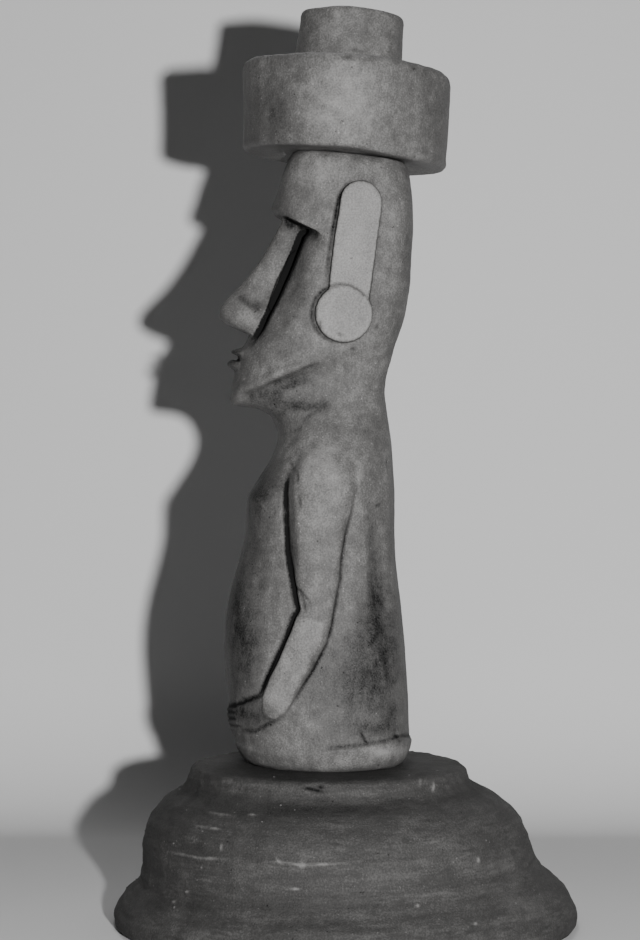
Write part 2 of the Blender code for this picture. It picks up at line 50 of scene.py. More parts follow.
# The photograph's view, an exact left profile
PHOTO_WIDTH = 640
PHOTO_HEIGHT = 940
LENS = 90.0
SENSOR = 36.0
AIM = Vector((0.0, -0.011, 0.1989))
EYE = AIM + Vector((1.034, 0.0, 0.0088))
PIXEL = 0.44 * MM  # what one pixel spans at the statue's middle

# How fine each piece's clay is worked
FIGURE_GRAIN = 0.62 * MM
PLINTH_GRAIN = 0.80 * MM
TOPKNOT_GRAIN = 0.55 * MM
MOST_TRIANGLES = 188000  # in one piece

# How the clay is worked
SAME_PLACE = 0.002 * MM  # vertices closer than this are one
LATTICE = 64  # random values along each way of a mottle
OPEN_BEND = 0.012  # how much the normals round a vertex differ on open surface, and on an edge
EDGE_BEND = 0.07
SINK = 0.50  # shares of the way to the neighbours' middle, in and then out again
SWELL = 0.515
GROOVE_END = 0.25  # the depth that a groove keeps at its very ends
GROOVE_REACH = 12  # in pixels


def new_object(name, data):
    made = bpy.data.objects.new(name, data)
    bpy.context.scene.collection.objects.link(made)
    return made


def worked_mesh(piece):
    """The piece's mesh with its modifiers applied."""
    return bpy.data.meshes.new_from_object(piece.evaluated_get(bpy.context.evaluated_depsgraph_get()))


def smooth_step(value, low, high):
    share = np.clip((value - low) / (high - low), 0.0, 1.0)
    return share * share * (3 - 2 * share)


def bell(value, middle, width):
    """1 at the middle, and less and less on both sides of it."""
    return np.exp(-(((value - middle) / width) ** 2))


def mottle(places, size, seed):
    """Smooth random values from -1 to 1 in lumps of the given size, one number or one for each axis."""
    lattice = np.random.default_rng(seed).uniform(-1, 1, (LATTICE,) * 3)
    cells = places / np.asarray(size)
    low = np.floor(cells).astype(int)
    part = cells - low
    part = part * part * (3 - 2 * part)
    total = np.zeros(len(places))
    for corner in np.ndindex(2, 2, 2):
        weight = np.prod(np.where(corner, part, 1 - part), axis=1)
        x, y, z = ((low + corner) % LATTICE).T
        total += weight * lattice[x, y, z]
    return total


def in_photo(places):
    """Where the photograph shows these places, in its pixels, for either side of the statue."""
    ahead = np.array((AIM - EYE).normalized())
    right = np.array((0.0, 1.0, 0.0))
    above = np.cross(right, ahead)
    away = np.where(places[:, :1] > 0, places, places * [-1, 1, 1]) - np.array(EYE)
    scale = LENS / SENSOR * PHOTO_HEIGHT / (away @ ahead)
    return np.stack([PHOTO_WIDTH / 2 + away @ right * scale, PHOTO_HEIGHT / 2 - away @ above * scale], 1)


def along_line(spots, line):
    """For each spot of the photograph: distance from the line, share of the way along it, and which side."""
    line = np.array(line, float)
    lengths = np.linalg.norm(np.diff(line, axis=0), axis=1)
    starts = np.concatenate([[0.0], np.cumsum(lengths)])
    best = np.full(len(spots), np.inf)
    share = np.zeros(len(spots))
    side = np.zeros(len(spots))
    for k, (start, end) in enumerate(zip(line, line[1:])):
        run = end - start
        t = np.clip((spots - start) @ run / (run @ run), 0.0, 1.0)
        gap = spots - start - t[:, None] * run
        distance = np.hypot(gap[:, 0], gap[:, 1])
        closer = distance < best
        best = np.where(closer, distance, best)
        share = np.where(closer, (starts[k] + t * lengths[k]) / starts[-1], share)
        side = np.where(closer, np.sign(run[0] * gap[:, 1] - run[1] * gap[:, 0]), side)
    return best, share, side


def below_line(spots, line):
    """How far below the line each spot is, in metres, less than zero above it."""
    distance, _, below = along_line(spots, line)
    return np.where(below > 0, distance, -distance) * PIXEL


def inside(spots, outline, soft):
    """How far inside an outline the photograph's spots are, from 0 to 1 across a soft edge."""
    closed = list(outline) + [outline[0]]
    distance, _, _ = along_line(spots, closed)
    crossings = np.zeros(len(spots), int)
    for (x0, y0), (x1, y1) in zip(closed, closed[1:]):
        spans = (spots[:, 1] < y0) != (spots[:, 1] < y1)
        with_slope = (spots[:, 1] - y0) * (x1 - x0) / ((y1 - y0) or 1.0) + x0
        crossings += spans & (spots[:, 0] < with_slope)
    signed = np.where(crossings % 2 == 1, distance, -distance)
    return smooth_step(signed, -soft, soft)


def groove(spots, line, width, ends=0.12):
    """A groove's depth across and along its line, from 0 to 1, running out at both ends."""
    distance, share, _ = along_line(spots, line)
    taper = smooth_step(share, -0.01, ends) * smooth_step(1 - share, -0.01, ends)
    depth = GROOVE_END + (1 - GROOVE_END) * taper
    return bell(distance * PIXEL, 0, width) * depth * (distance < GROOVE_REACH)


def grooves(spots, table):
    """Grooves added up, each given as its lines, amount, width in mm and the share that its ends take."""
    total = np.zeros(len(spots))
    for lines, amount, width, ends in table:
        for line in lines:
            total += amount * groove(spots, line, width * MM, ends)
    return total


def soft_patch(spots, x, y, reach_x, reach_y):
    return np.exp(-(((spots[:, 0] - x) / reach_x) ** 2) - ((spots[:, 1] - y) / reach_y) ** 2)


def patches(spots, table):
    """Soft patches added up, each given as its middle, its reach and its amount."""
    return sum(amount * soft_patch(spots, *place) for *place, amount in table)


def lumps(places, table):
    """Uneven surface, each layer given as its height in mm, the size of its lumps in mm and its seed."""
    return sum(height * MM * mottle(places, np.multiply(size, MM), seed) for height, size, seed in table)


def pits(places, size, seed, least):
    """Small pits, from 0 to 1, fewer where the least is higher."""
    rough = mottle(places, size[0] * MM, seed) * 0.6 + mottle(places, size[1] * MM, seed + 1) * 0.4
    return smooth_step(rough, least, 0.85)


def round_about(places, middle):
    """Angle round an upright axis, and distance from it."""
    away = places[:, :2] - np.asarray(middle)[:2]
    return np.arctan2(away[:, 1], away[:, 0]), np.hypot(away[:, 0], away[:, 1])


def waves(angle, table):
    """An edge's rise and fall, each wave given as how many go round, its height in mm and its start."""
    return sum(height * MM * np.sin(count * angle + start) for count, height, start in table)


class Clay:
    """A piece's clay as a fine mesh, held in arrays while it is worked."""

    def __init__(self, node, grain):
        shape = bmesh.new()
        shape.from_mesh(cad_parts[node].data)
        bmesh.ops.remove_doubles(shape, verts=shape.verts, dist=SAME_PLACE)
        rough = bpy.data.meshes.new(node + "_rough")
        shape.to_mesh(rough)
        shape.free()
        lump = new_object(node + "_lump", rough)
        remesh = lump.modifiers.new("fine", "REMESH")
        remesh.mode = "VOXEL"
        remesh.voxel_size = grain * 1.0
        self.mesh = worked_mesh(lump)
        bpy.data.objects.remove(lump)
        bpy.data.meshes.remove(rough)
        self.places = np.empty((len(self.mesh.vertices), 3), np.float32)
        self.mesh.vertices.foreach_get("co", self.places.ravel())
        self.places = self.places.astype(float)
        edges = np.empty((len(self.mesh.edges), 2), np.int32)
        self.mesh.edges.foreach_get("vertices", edges.ravel())
        ways = np.concatenate([edges, edges[:, ::-1]])
        self.others = ways[np.argsort(ways[:, 0], kind="stable"), 1]
        self.counts = np.bincount(ways[:, 0], minlength=len(self.places))
        self.starts = np.concatenate([[0], np.cumsum(self.counts)[:-1]])
        self.layers = {}  # what the material reads: tone with painted light and shade, painted shade in creases, polish and crumbly
        self.detailed = np.zeros(len(self.places), bool)  # vertices that are never thinned out

    def average(self, values):
        """Each vertex's neighbours, averaged."""
        total = np.add.reduceat(values[self.others], self.starts, axis=0)
        return total / (self.counts[:, None] if values.ndim == 2 else self.counts)

    def normals(self):
        self.mesh.vertices.foreach_set("co", self.places.astype(np.float32).ravel())
        self.mesh.update()
        found = np.empty((len(self.places), 3), np.float32)
        self.mesh.vertex_normals.foreach_get("vector", found.ravel())
        return found.astype(float)

    def sharpness(self, rounds=3):
        """0 on open surface, 1 on edges and in cuts."""
        mean = self.normals()
        for _ in range(rounds):
            mean = self.average(mean)
        return smooth_step(1 - np.linalg.norm(mean, axis=1), OPEN_BEND, EDGE_BEND)

    def bulge(self, rounds):
        """How far each vertex stands out from its surroundings, above zero on rounded edges."""
        around = self.places
        for _ in range(rounds):
            around = self.average(around)
        return np.sum((self.places - around) * self.normals(), axis=1)

    def smooth(self, rounds, weight=1.0):
        """Rubs the surface smooth without shrinking it."""
        weight = np.broadcast_to(weight, len(self.places))[:, None]
        for _ in range(rounds):
            self.places += SINK * weight * (self.average(self.places) - self.places)
            self.places -= SWELL * weight * (self.average(self.places) - self.places)

    def settle(self, rounds, weight):
        """Lets the surface sink together where the weight is."""
        for _ in range(rounds):
            self.places += SINK * weight[:, None] * (self.average(self.places) - self.places)

    def push(self, amount):
        """Moves the surface out by the amount, or in where that is below zero."""
        self.places += self.normals() * np.asarray(amount)[:, None]

    def finish(self, name, material):
        """The worked mesh as an object, with its layers as attributes and its plain surface thinned."""
        self.mesh.vertices.foreach_set("co", self.places.astype(np.float32).ravel())
        for layer, values in self.layers.items():
            attribute = self.mesh.attributes.new(layer, "FLOAT", "POINT")
            attribute.data.foreach_set("value", np.asarray(values, np.float32))
        self.mesh.update()
        piece = new_object(name, self.mesh)
        triangles = sum(len(face.vertices) - 2 for face in self.mesh.polygons)
        if triangles > MOST_TRIANGLES:
            fewer = piece.modifiers.new("fewer", "DECIMATE")
            fewer.ratio = MOST_TRIANGLES / triangles
            near = self.detailed.astype(float)
            for _ in range(3):
                near = self.average(near)
            plain = piece.vertex_groups.new(name="plain")
            plain.add(np.flatnonzero(near < 0.02).tolist(), 1.0, "REPLACE")
            fewer.vertex_group = "plain"
            mesh = worked_mesh(piece)
            piece.modifiers.remove(fewer)
            piece.vertex_groups.clear()
            piece.data = mesh
        piece.data.materials.clear()
        piece.data.materials.append(material)
        piece.data.shade_smooth()
        return piece


# The figure's marks, as lines and outlines in the photograph's pixels
JAW = [(233, 401), (242, 391), (262, 385), (274, 378), (291, 372), (305, 368), (318, 363), (331, 356)]
CHEEK_EDGE = [(315, 242), (309, 262), (305, 286), (302, 304), (291, 324), (279, 338), (266, 352), (252, 374)]
NOSE_SLIT = [
    (303.5, 232), (297.5, 247), (289.8, 265), (282.6, 282),
    (276, 297.7), (268.6, 313), (260.5, 328.5), (251, 345),
]
BROW_CREASE = [(281, 219), (290.5, 224), (302, 229.5), (318, 237)]
NOSTRIL_CREASE = [(236, 294.5), (245, 299.5), (252, 303.6), (262, 308)]
MOUTH_SLIT = [(224, 353.5), (229, 354.6), (234, 357), (239.5, 360)]
NECK_CREASES = [
    [(296, 372), (306, 368.5), (319, 363.5)],
    [(273, 395.5), (285, 389.5), (303, 380.5)],
    [(262, 389), (275, 384), (286, 380)],
    [(286, 406), (304, 409), (324, 402)],
    [(296, 424), (309, 415), (326, 404)],
    [(282, 434), (296, 430), (306, 422)],
]
EAR_SPINE = [(354, 196), (346, 290), (340, 313)]
EAR_LEFT = [(326.2, 284), (329.3, 246), (334.3, 222), (337.3, 205), (339.5, 195), (345, 186), (352, 182)]
EAR_RIGHT = [
    (352, 182), (364, 181), (371, 184), (376.5, 190), (379, 205),
    (377.5, 222), (374, 237), (369, 280), (367, 296),
]
PLUG_MIDDLE = (340.7, 313.3)
PLUG_REACH = 28.8
PLUG_SCRATCHES = [[(320, 321), (320, 329)], [(337, 333), (342, 335)]]
EAR_MARKS = [[(350, 350), (356, 348)], [(375, 330), (379, 324)]]
ARM_FRONT = [
    (288, 474), (285, 492), (285.3, 520), (287, 551), (291.6, 579), (296, 603), (297.5, 609),
    (293.3, 617), (284.7, 638), (276, 659), (267.3, 676), (260.3, 695),
]
HAND = [(240, 699), (262, 698), (263, 714), (274, 722), (262, 732), (234, 729)]
HAND_TOP = [(261, 694.5), (245, 700.5), (229, 706.5)]
ARM_WALL = [(289, 492), (291, 520), (293, 550), (297, 582)]
ARM_BACK = [
    (356, 490), (350.6, 516), (345.4, 537), (342, 558), (340.6, 579), (336.7, 600),
    (331.5, 627.5), (326.3, 645), (314, 669), (297, 697), (283, 718),
]
HAND_FOOT = [(234, 730), (255, 732), (272.5, 723.5), (284, 717)]
FOREARM = [
    (295.5, 617), (323.5, 622), (322, 640), (314, 656), (300, 684),
    (286, 711), (276, 719.5), (266, 718), (262, 710), (262, 698), (270, 678), (284, 645),
]
FINGERS = [
    [(226, 706), (237, 707)],
    [(225, 711.5), (236, 712.5)],
    [(225, 718), (236, 719)],
    [(227, 725), (240, 727.5)],
]
ELBOW_CREASES = [[(291, 585), (301, 592), (308, 600), (310, 603)], [(299, 590), (303, 601), (305, 612)]]
FLUTE = [(372, 470), (376, 510), (378, 550), (380, 585), (386, 620), (389, 650)]
FLUTE_EDGE = [(372, 530), (372, 560), (376, 600), (384, 650), (390, 690), (396, 725)]
FOOT_EDGE = [(236, 742), (262, 752), (300, 754), (338, 749), (362, 747), (385, 743), (402, 738), (410, 738)]
FOOT_NICKS = [[(361, 731), (364, 738), (368, 744)], [(394, 735), (399, 738)], [(397, 741), (401, 741)]]
SHOULDER_NICKS = [
    [(296, 470), (297, 482)],
    [(289, 461), (293, 470)],
    [(377, 507), (383, 503)],
    [(298, 494), (300, 508)],
]

# Cut into the figure's sides, or raised where the depth is below zero: lines, depth and width in mm, and the
# share of the line where its ends run out
SIDE_GROOVES = [
    ([NOSTRIL_CREASE], 0.9, 2.2, 0.12),
    (NECK_CREASES[:2], 0.75, 1.2, 0.4),
    (NECK_CREASES[2:], 0.45, 1.2, 0.4),
    ([CHEEK_EDGE], -0.45, 2.6, 0.3),
    (PLUG_SCRATCHES + EAR_MARKS, 0.35, 0.5, 0.3),
    ([ARM_FRONT], 1.5, 0.85, 0.12),
    ([ARM_WALL], 0.5, 2.0, 0.3),
    ([ARM_BACK], 0.6, 0.7, 0.15),
    ([HAND_FOOT], 0.5, 0.8, 0.15),
    ([HAND_TOP], 0.9, 0.8, 0.15),
    (ELBOW_CREASES, 0.4, 0.7, 0.3),
    ([FLUTE], 1.3, 3.8, 0.4),
    ([FLUTE_EDGE], 0.35, 0.9, 0.3),
    (FOOT_NICKS + SHOULDER_NICKS, 0.6, 0.8, 0.3),
]
# Shade painted darker into the grooves and slits: lines, amount, width in mm and the share of the line where
# its ends run out
GROOVE_SHADE = [
    ([ARM_FRONT], 1.1, 0.95, 0.06),
    ([ARM_BACK], 0.6, 0.7, 0.2),
    ([BROW_CREASE], 0.5, 1.7, 0.12),
    ([MOUTH_SLIT], 0.5, 0.8, 0.12),
    ([HAND_FOOT], 0.4, 0.8, 0.2),
    ([HAND_TOP], 0.55, 0.7, 0.2),
    ([NOSTRIL_CREASE], 0.3, 2.0, 0.12),
    (FINGERS + ELBOW_CREASES + FOOT_NICKS + SHOULDER_NICKS + PLUG_SCRATCHES + EAR_MARKS, 0.4, 0.7, 0.3),
    (NECK_CREASES, 0.22, 1.1, 0.4),
]
# The clay's uneven surface: height in mm, size of the lumps in mm, random seed
FIGURE_LUMPS = [(0.26, 14.0, 1), (0.14, (4.5, 4.5, 10.0), 2), (0.04, (2.0, 2.0, 4.0), 3)]

# How far out from the middle of the head the ear stands clear of it, and where its polished face is
EAR_ROOT = 24.6 * MM
EAR_FACE = 25.7 * MM
EAR_BACK = 2.6  # pixels that the ear is moved back, and how many more its upper front edge is
EAR_EDGE_BACK = 2.0
BROW = 231  # the photograph's row where the nose slit starts, and its row under the chin
CHIN = 405

# Painted light and shade, softly lighter and darker places: middle and reach in the photograph's pixels, and
# how much lighter
FIGURE_LIGHT_AND_SHADE = [
    (322, 520, 24, 62, 0.12),
    (320, 462, 28, 24, 0.30),
    (274, 215, 22, 30, -0.16),
    (262, 200, 10, 30, -0.14),
    (318, 172, 60, 16, 0.22),
    (395, 220, 16, 60, 0.12),
    (390, 235, 12, 60, 0.06),
    (300, 335, 18, 26, -0.10),
    (285, 345, 14, 16, -0.08),
    (276, 366, 22, 12, 0.12),
    (308, 352, 34, 10, 0.02),
    (297, 275, 12, 30, -0.22),
    (276, 262, 10, 26, 0.10),
    (262, 285, 7, 10, 0.10),
    (244, 312, 14, 9, 0.10),
    (256, 304, 10, 5, -0.10),
    (244, 330, 14, 5, -0.30),
    (232, 345, 9, 5, -0.34),
    (230, 358, 9, 10, -0.75),
    (236, 376, 6, 14, -0.14),
    (290, 402, 22, 9, -0.30),
    (318, 404, 18, 8, -0.30),
    (275, 416, 16, 14, -0.30),
    (300, 384, 22, 5, -0.06),
    (268, 398, 12, 8, -0.20),
    (398, 320, 5, 30, -0.20),
    (408, 240, 5, 70, -0.16),
    (330, 425, 22, 20, -0.10),
    (350, 390, 24, 16, -0.06),
    (300, 440, 12, 12, -0.10),
    (368, 420, 12, 30, -0.04),
    (254, 472, 16, 34, -0.80),
    (248, 510, 14, 30, -0.10),
    (232, 560, 14, 70, -0.50),
    (240, 640, 20, 60, -0.44),
    (262, 560, 10, 60, -0.16),
    (350, 690, 34, 40, -0.28),
    (372, 728, 26, 7, -0.28),
    (330, 738, 40, 8, -0.10),
    (384, 650, 20, 56, -0.52),
    (377, 600, 9, 30, -0.44),
    (373, 552, 6, 28, -0.30),
    (392, 715, 8, 14, -0.30),
    (400, 560, 7, 60, -0.10),
    (361, 480, 7, 26, 0.18),
    (254, 716, 24, 11, -0.46),
    (240, 740, 16, 12, -0.20),
    (312, 670, 5, 30, -0.14),
    (292, 540, 5, 48, -0.34),
    (222, 700, 12, 30, -0.15),
    (385, 751, 26, 7, 0.50),
    (350, 760, 26, 6, 0.15),
    (228, 712, 10, 12, -0.40),
    (352, 650, 22, 60, -0.28),
    (345, 400, 30, 20, 0.10),
    (350, 615, 13, 32, 0.18),
]


def move_ears(clay):
    """Moves both ears back a little, to where the photograph has them."""
    spots = in_photo(clay.places)
    away, _, _ = along_line(spots, EAR_SPINE)
    by_ear = smooth_step(away, 52, 32) * smooth_step(np.abs(clay.places[:, 0]), 16 * MM, 22 * MM)
    upper_edge = soft_patch(spots, 334, 204, 12, 24)
    clay.places[:, 1] += PIXEL * by_ear * (EAR_BACK + EAR_EDGE_BACK * upper_edge)


def soften_figure(clay, spots, open_surface, ear):
    """Rubs the solid's facets smooth, most of all on the shoulder, and keeps its edges."""
    shoulder = soft_patch(spots, 322, 452, 46, 26) + soft_patch(spots, 352, 500, 9, 34)
    clay.settle(26, smooth_step(shoulder, 0.3, 0.8) * ~ear)
    clay.settle(24, open_surface * ~ear)
    clay.smooth(40, np.clip(open_surface + smooth_step(shoulder, 0.25, 0.7), 0, 1) * ~ear)


def nose_slit(spots, side):
    """The knife slit behind the nose: how it moves the surface, the shadow painted black along it, and where
    it is cut.
    """
    y = spots[:, 1]
    half = 0.9 + 0.75 * smooth_step(y, 335, 260)  # half its width in mm, more towards the brow
    away, _, by_nose = along_line(spots, NOSE_SLIT)
    across = -away * by_nose * PIXEL / MM
    beside = (y > BROW) & (y < CHIN)
    cut = smooth_step(across, -half - 0.2, -half + 0.5) * smooth_step(across, 1.3, 0.2) * beside
    push = -3.0 * MM * cut * smooth_step(y, 347, 318)
    push += 0.35 * MM * beside * bell(across, -half - 0.9, 0.9) * side * smooth_step(y, 340, 325)
    shade = smooth_step(across, -half - 0.6, -half - 0.1) * smooth_step(across, 3.3, 0.2)
    return push, 1.6 * shade * beside * smooth_step(y, 350, 322), cut


def jaw_edge(spots, side):
    """The jaw's raised edge with the hollow under it: how it moves the surface, and its shade."""
    _, share, _ = along_line(spots, JAW)
    jaw = smooth_step(share, 0, 0.15) * smooth_step(1 - share, 0.0, 0.35) * side
    below = below_line(spots, JAW)
    push = jaw * 1.1 * MM * bell(below, -1.0 * MM, 2.2 * MM)
    push -= jaw * 1.6 * MM * bell(below, 3.2 * MM, 2.6 * MM)
    return push, jaw * bell(below, 4.2 * MM, 3.2 * MM)


def ear_rim(spots, ear, side):
    """The line pressed round the ear's strip and plug: how it moves the surface, and the shadow painted along
    it, wider and darker on the left.
    """
    x, y = spots.T
    ring = np.hypot(x - PLUG_MIDDLE[0], y - PLUG_MIDDLE[1]) - PLUG_REACH
    wider = smooth_step(x, 345, 318)
    rim = bell(ring, 0.2, 1.1 + 0.6 * wider) * ((x < 362) | (y > 312)) * ~ear
    on_strip = bell(ring, 0.8, 1.3) * ear * (y < 296)
    left = groove(spots, EAR_LEFT, 0.8 * MM, 0.2) * ~ear * (y < 284)
    right = groove(spots, EAR_RIGHT, 0.45 * MM, 0.1) * ~ear
    push = -(0.2 + 0.5 * wider) * MM * rim * side * (y < CHIN)
    push -= 0.35 * MM * on_strip + 0.8 * MM * left + 0.3 * MM * right
    # Painted shadow round the plug and along the strip's edges, darkest on the left
    painted_shade = 0.6 * rim * (0.4 + 0.6 * wider) + 0.35 * on_strip
    painted_shade = painted_shade + (0.5 + 0.4 * smooth_step(y, 250, 215)) * left + 0.45 * right
    return push, painted_shade


def foot_rim(spots):
    """The rim that stands out round the figure's foot: how it moves the surface, and the shade painted along
    its edge at the back.
    """
    x, y = spots.T
    below = below_line(spots, FOOT_EDGE)
    step = 1.1 * MM * smooth_step(below, -0.7 * MM, 0.7 * MM) * np.exp(-np.clip(below, 0, None) / (9 * MM))
    push = step * (y > 730) * (0.4 + 0.6 * smooth_step(x, 300, 345))
    return push, 0.45 * bell(below, -1.0 * MM, 0.9 * MM) * (y > 725) * smooth_step(x, 320, 345)


def arm_relief(spots, forearm, side):
    """The forearm laid on, the hand pressed flat, the fingers, and the clay heaped behind the arm."""
    y = spots[:, 1]
    away, _, behind = along_line(spots, ARM_BACK)
    heaped = bell(away, 5, 5) * (behind > 0) * smooth_step(y, 470, 500) * (y < 715)
    push = 0.35 * MM * heaped * side + 0.30 * MM * forearm
    push -= 0.5 * MM * inside(spots, HAND, 2) * side
    return push - 0.55 * MM * grooves(spots, [(FINGERS, 1, 0.55, 0.2)]) * (y > 700)


def hand_worked(places, spots, open_surface, ear, forearm, side):
    """The dents, tool marks and pits that hands leave, fewer on the polished ear and forearm."""
    amount = (0.3 + 0.7 * open_surface) * np.where(ear, 0.55, 1.0) * (1 - 0.5 * forearm)
    smeared = soft_patch(spots, 318, 452, 42, 32) + soft_patch(spots, 312, 400, 26, 12)
    push = lumps(places, FIGURE_LUMPS) * amount + lumps(places, [(0.05, 1.7, 4)])
    push -= 0.35 * MM * pits(places, (2.6, 1.4), 5, 0.62) * amount
    return push + lumps(places, [(0.34, (3.2, 3.2, 5.0), 7)]) * smeared * side


def make_figure(material):
    clay = Clay("figure", FIGURE_GRAIN)
    clay.smooth(4)
    move_ears(clay)
    spots = in_photo(clay.places)
    x, y = spots.T
    reach = np.abs(clay.places[:, 0])
    face = y < CHIN
    ear = (reach > EAR_ROOT) & (y < 350) & (x > 300)
    open_surface = 1 - clay.sharpness()
    soften_figure(clay, spots, open_surface, ear)
    by_cut = np.minimum(along_line(spots, NOSE_SLIT)[0], along_line(spots, ARM_FRONT)[0])
    by_cut = smooth_step(by_cut, np.where(face, 5, 9), np.where(face, 3, 5))
    by_cut = by_cut * smooth_step(np.abs(clay.places[:, 0]), 5 * MM, 9 * MM)
    clay.settle(14, by_cut)  # the solid's own cuts, before they are worked again
    clay.settle(5, soft_patch(spots, 231, 357, 9, 11))  # the lips
    sideways = np.abs(clay.normals()[:, 0])
    side = smooth_step(sideways, 0.15, 0.5)
    # The forearm's edge wavers as hand-cut clay does
    wobble = np.stack([mottle(clay.places, 5 * MM, seed) for seed in (8, 9)], 1)
    forearm = inside(spots + 1.6 * wobble, FOREARM, 1.6) * side

    slit_push, slit_shade, slit = nose_slit(spots, side)
    jaw_push, jaw_shade = jaw_edge(spots, side)
    ear_push, ear_shadow = ear_rim(spots, ear, side)
    foot_push, foot_shade = foot_rim(spots)
    push = slit_push + jaw_push + ear_push + foot_push
    push -= MM * grooves(spots, SIDE_GROOVES) * side
    push -= MM * grooves(spots, [([BROW_CREASE], 1.6, 1.7, 0.12)]) * face
    push -= MM * grooves(spots, [([MOUTH_SLIT], 0.8, 0.9, 0.05)])
    push += 0.7 * MM * soft_patch(spots, 240, 315, 11, 8) * side  # the nostril
    push -= 0.35 * MM * soft_patch(spots, 292, 275, 8, 34) * side  # the hollow of the cheek
    push += 0.4 * MM * soft_patch(spots, 258, 500, 12, 11)  # the breast
    push += arm_relief(spots, forearm, side)
    push += hand_worked(clay.places, spots, open_surface, ear, forearm, side)
    clay.push(push)
    clay.smooth(2)
    clay.settle(4, by_cut * np.clip(slit + groove(spots, ARM_FRONT, 1.4 * MM, 0.06), 0, 1))

    polish = smooth_step(reach, EAR_FACE - 0.7 * MM, EAR_FACE) * ear * smooth_step(sideways, 0.5, 0.8)
    # Painted light and shade from the table and under the jaw; the polished ear face and the forearm are
    # lighter clay
    tone_and_shading = np.where(ear, 0.0, patches(spots, FIGURE_LIGHT_AND_SHADE) - 0.34 * jaw_shade)
    clay.layers["tone_and_shading"] = tone_and_shading + 0.34 * polish + 0.20 * forearm
    # Painted shade in the nose slit, round the ear, along the foot and in the grooves
    crease_shade = slit_shade + ear_shadow + foot_shade + grooves(spots, GROOVE_SHADE)
    clay.layers["crease_shade"] = np.clip(crease_shade, 0, 1)
    clay.layers["polish"] = np.clip(np.maximum(polish, 0.55 * forearm), 0, 1)
    clay.detailed = (clay.layers["crease_shade"] > 0.08) | (np.abs(clay.layers["polish"] - 0.5) < 0.45)
    return clay.finish("figure_clay", material)


# The topknot's uneven edges: waves round, height in mm, start
EDGE_WAVES = [(3, 0.40, 0.4), (5, 0.22, 2.1), (8, 0.12, 4.0)]
TOPKNOT_LUMPS = [(0.22, (16.0, 16.0, 30.0), 11), (0.10, 8.0, 12), (0.05, 3.4, 13), (0.03, 1.5, 14)]
# Smears as lines in the photograph, and dents by middle and reach there and depth in mm
DRUM_SMEARS = [[(340, 57), (348, 58), (353, 57)], [(350, 49), (358, 50), (365, 52)]]
DRUM_DENTS = [(428, 150, 6, 7, 0.9), (300, 96, 12, 9, 0.5), (404, 128, 14, 10, 0.4), (268, 120, 10, 16, 0.4)]
# Painted light and shade: a painted highlight across the drum's middle and painted shade down its sides;
# middle and reach in the photograph's pixels, and how much lighter
TOPKNOT_LIGHT_AND_SHADE = [
    (345, 105, 36, 46, 0.34),
    (296, 92, 10, 9, 0.16),
    (282, 116, 20, 36, -0.22),
    (430, 110, 14, 40, -0.12),
    (405, 78, 30, 10, -0.06),
    (330, 28, 18, 14, 0.14),
    (372, 46, 18, 8, 0.10),
]


def crisp_edges(clay):
    """Where the softened drum's and knob's edges are, to be pushed out again."""
    crisp = smooth_step(clay.bulge(8), 0.045 * MM, 0.10 * MM)
    for _ in range(8):
        crisp = clay.average(crisp)
    return crisp


def make_topknot(material):
    clay = Clay("topknot", TOPKNOT_GRAIN)
    clay.smooth(4)
    low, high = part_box("topknot")
    clay.settle(36, 1 - clay.sharpness(5))
    clay.smooth(3)
    spots = in_photo(clay.places)
    places = clay.places
    angle, distance = round_about(places, (low + high) / 2)
    rise = (places[:, 2] - low.z) / (high.z - low.z)
    drum_top = bell(rise, 0.60, 0.10) * smooth_step(distance, 28 * MM, 40 * MM)
    drum_foot = bell(rise, 0.06, 0.10) * smooth_step(distance, 30 * MM, 42 * MM)
    knob_top = smooth_step(rise, 0.9, 1.0) * smooth_step(distance, 14 * MM, 22 * MM)
    push = crisp_edges(clay) * np.where(distance > 32 * MM, 0.7 * MM, 0.4 * MM)
    push += waves(angle, EDGE_WAVES) * (0.9 * drum_top + 0.5 * knob_top)
    push += waves(angle + 1.7, EDGE_WAVES) * 0.8 * drum_foot
    push += lumps(places, TOPKNOT_LUMPS)
    push -= 0.35 * MM * pits(places, (2.4, 1.3), 15, 0.60)
    side = smooth_step(np.abs(clay.normals()[:, 0]), 0.1, 0.4)
    push -= MM * grooves(spots, [(DRUM_SMEARS, 0.35, 0.7, 0.3)]) * side
    push -= MM * patches(spots, DRUM_DENTS) * side
    clay.push(push)
    clay.smooth(2)
    clay.places = np.clip(clay.places, np.array(low), np.array(high))
    # Painted shade where the knob meets the drum and in the smears
    painted_shade = 0.6 * bell(rise, 0.64, 0.02) * (distance < 27 * MM)
    painted_shade = painted_shade + grooves(spots, [(DRUM_SMEARS, 0.3, 0.8, 0.3)]) * side
    clay.layers["tone_and_shading"] = patches(spots, TOPKNOT_LIGHT_AND_SHADE)
    clay.layers["crease_shade"] = np.clip(painted_shade, 0, 1)
    clay.layers["polish"] = np.zeros(len(places))
    return clay.finish("topknot_clay", material)


# The plinth's hand-turned ridges: height above the floor, how proud, how tall, in mm
TURNED_RIDGES = [
    (13.5, 0.35, 1.1),
    (19.5, 0.45, 1.2),
    (25.5, 0.5, 1.3),
    (31.0, 0.3, 1.0),
    (38.5, 0.5, 1.4),
    (45.0, 0.25, 1.0),
]
# How the ridges drift up and down, and the fine marks between them
TURNED_WAVES = [(1, 0.9, 0.3), (2, 0.6, 1.0)]
TURNED_LUMPS = [(0.08, (12.0, 12.0, 1.2), 31), (0.14, (26.0, 26.0, 2.4), 32)]
